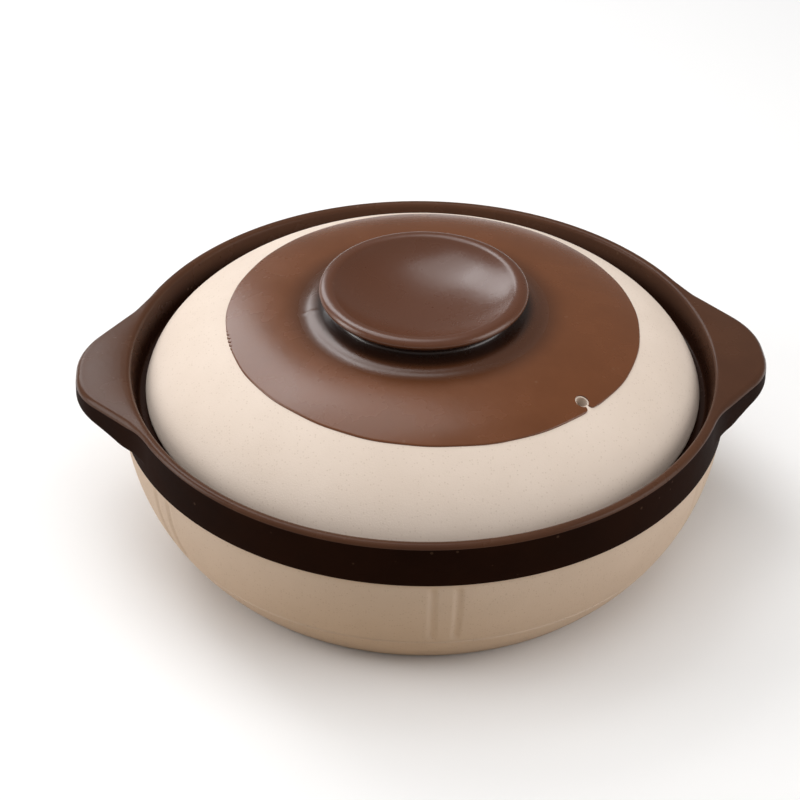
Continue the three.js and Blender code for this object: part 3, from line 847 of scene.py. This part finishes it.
# Darker brown over dish and lip; painted shade below the lip: near black on the neck, mid brown on the
# skirt.
knob_glaze = brown_glaze(
    "knob_glaze", GLAZE_BROWN, GLAZE_WARM, shine=0.7, gloss_range=(0.24, 0.32), pools=[
        (GLAZE_DISH, {"Dark Height": KNOB_TOP, "Clear Height": KNOB_TOP + 1,
                      "Dark Radius": KNOB_R - 1.5, "Clear Radius": KNOB_R + 1}),
        (PAINTED_FOOT_SHADE, {"Dark Height": lip_z - 2.5, "Clear Height": lip_z + 0.8,
                      "Dark Radius": FOOT_SHADE_R, "Clear Radius": FOOT_SHADE_END,
                      "Inner Radius": KNOB_NECK_R - 1.2}),
        (PAINTED_DEEP_SHADE, {"Dark Height": lip_z - 2.5, "Clear Height": lip_z + 0.8,
                      "Dark Radius": KNOB_COLLAR_R - 0.4, "Clear Radius": KNOB_FOOT_R - 5,
                      "Inner Radius": KNOB_NECK_R - 1.2}),
    ])
dress(knob, knob_glaze, "cover", "glaze", "knob")

# Studio: a pale floor that looks white and throws warm light back, a soft lamp above, two more behind
# on the left, and a weaker one on each side.
FLOOR_BOUNCE = (0.52, 0.40, 0.27, 1)
FLOOR_WHITE = (0.93, 0.93, 0.93, 1)
bpy.ops.object.select_all(action="DESELECT")
bpy.ops.mesh.primitive_plane_add(size=6, location=(0, 0, 0))
floor = bpy.context.object
floor.name = "studio_floor"
floor_paint = bpy.data.materials.new("studio_floor")
floor_paint.use_nodes = True
tree = floor_paint.node_tree
paint = tree.nodes["Principled BSDF"]
paint.inputs["Roughness"].default_value = 0.9
seen = new_node(tree, "ShaderNodeLightPath")
sights = reckon(tree, "MAXIMUM", seen.outputs["Is Camera Ray"], seen.outputs["Is Glossy Ray"])
all_sights = reckon(tree, "MAXIMUM", sights, seen.outputs["Is Transmission Ray"])
floor_colour = blend_colours(tree, all_sights, FLOOR_BOUNCE, FLOOR_WHITE)
tree.links.new(floor_colour, paint.inputs["Base Color"])
floor.data.materials.append(floor_paint)

world = bpy.data.worlds.new("studio")
bpy.context.scene.world = world
world.use_nodes = True
sky = world.node_tree.nodes["Background"]
sky.inputs["Color"].default_value = (1, 0.985, 0.97, 1)
sky.inputs["Strength"].default_value = 0.2


def soft_box(name, place, wide, tall, power, colour):
    """A lamp that faces the middle of the pot."""
    bpy.ops.object.light_add(type="AREA", location=place)
    lamp = bpy.context.object
    lamp.name = name
    lamp.data.shape = "RECTANGLE"
    lamp.data.size = wide
    lamp.data.size_y = tall
    lamp.data.energy = power
    lamp.data.color = colour
    lamp.rotation_euler = (Vector((0, 0, 0.06)) - Vector(place)).to_track_quat("-Z", "Y").to_euler()
    return lamp


top_light = soft_box("top_light", (-0.05, -0.2, 1.3), 1.2, 1.2, 9.0, (1, 0.985, 0.97))
top_light.visible_glossy = False
soft_box("skylight", (-0.25, 0.5, 1.25), 0.8, 0.7, 3.3, (0.98, 0.99, 1))
soft_box("window_light", (-0.58, 0.92, 0.85), 0.55, 1.1, 6.7, (0.97, 0.98, 1))
soft_box("left_light", (-1.15, 0.05, 0.45), 0.5, 0.8, 5.6, (1, 0.985, 0.97))
soft_box("right_light", (1.05, -0.35, 0.5), 0.8, 0.8, 5.2, (1, 0.985, 0.97))

# Camera at the place that fits the rim, the band and the lid's edge in the photograph.
CAMERA_TURN = -4.0
CAMERA_TILT = 54.121
CAMERA_ROLL = 0.509
CAMERA_PLACE = (-9.3, -783.5, 543.5 + TOP_Z)
camera_data = bpy.data.cameras.new("camera")
camera_data.sensor_width = 36.0
camera_data.lens = 103.5
camera_data.clip_start = 0.05
camera = bpy.data.objects.new("camera", camera_data)
bpy.context.collection.objects.link(camera)
camera.matrix_world = (
    Matrix.Rotation(math.radians(CAMERA_TURN), 4, "Z")
    @ Matrix.Translation(Vector(CAMERA_PLACE) * MM)
    @ Matrix.Rotation(math.radians(CAMERA_TILT), 4, "X")
    @ Matrix.Rotation(math.radians(CAMERA_ROLL), 4, "Z")
)
bpy.context.scene.camera = camera
bpy.context.scene.view_settings.view_transform = "Standard"
